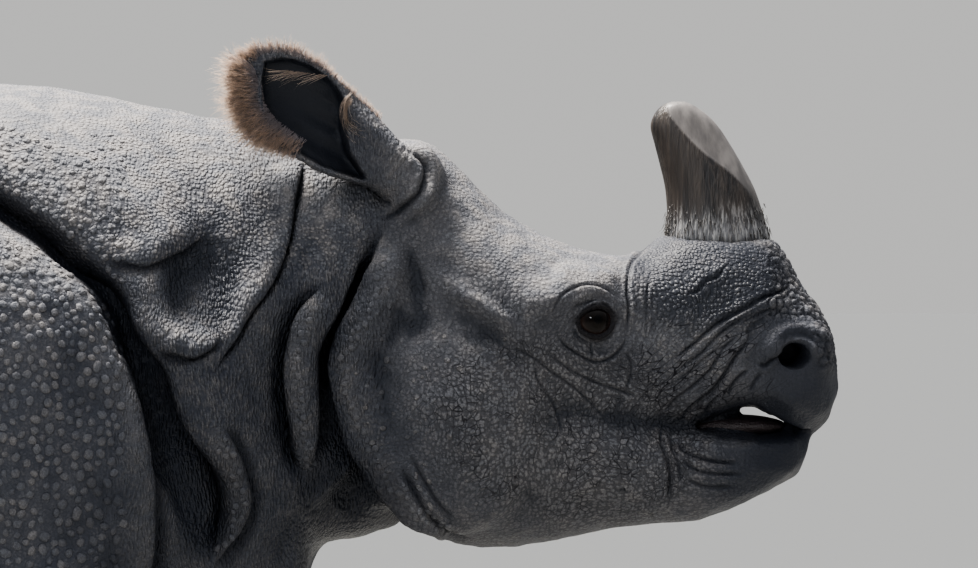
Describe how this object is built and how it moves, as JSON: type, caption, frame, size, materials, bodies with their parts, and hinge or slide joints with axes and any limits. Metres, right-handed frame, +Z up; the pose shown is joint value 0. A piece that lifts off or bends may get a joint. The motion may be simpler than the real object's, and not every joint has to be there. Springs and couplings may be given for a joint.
{
  "type": "greater one-horned rhinoceros",
  "caption": "Life-size standing Indian rhinoceros with folded, knobbly hide, a nose horn, cupped ears, broad nailed feet and a hanging tail.",
  "frame": {"origin": "on the floor, under the middle of the animal's box", "axes": "+X towards the head, +Y the animal's left, +Z up"},
  "size_m": [3.304, 1.0924, 1.6671],
  "materials": {
    "hide": "matt, granular, warm grey where light falls and bluish in the folds",
    "horn": "fibrous keratin, worn pale on the upper front",
    "nail": "worn grey keratin",
    "eye": "wet and dark brown",
    "tongue": "moist, dark",
    "hair": "coarse golden brown bristles"
  },
  "bodies": {
    "root": {"head": "hide", "jaw": "hide", "neck": "hide", "trunk": "hide", "tail": "hide", "leg_front_left": "hide", "leg_front_right": "hide", "leg_hind_left": "hide", "leg_hind_right": "hide", "ear_left": "hide", "ear_right": "hide", "horn": "horn", "tongue": "tongue", "eye_left": "eye", "eye_right": "eye", "nail_front_left_inner": "nail", "nail_front_left_middle": "nail", "nail_front_left_outer": "nail", "nail_front_right_inner": "nail", "nail_front_right_middle": "nail", "nail_front_right_outer": "nail", "nail_hind_left_inner": "nail", "nail_hind_left_middle": "nail", "nail_hind_left_outer": "nail", "nail_hind_right_inner": "nail", "nail_hind_right_middle": "nail", "nail_hind_right_outer": "nail"}
  },
  "joints": []
}
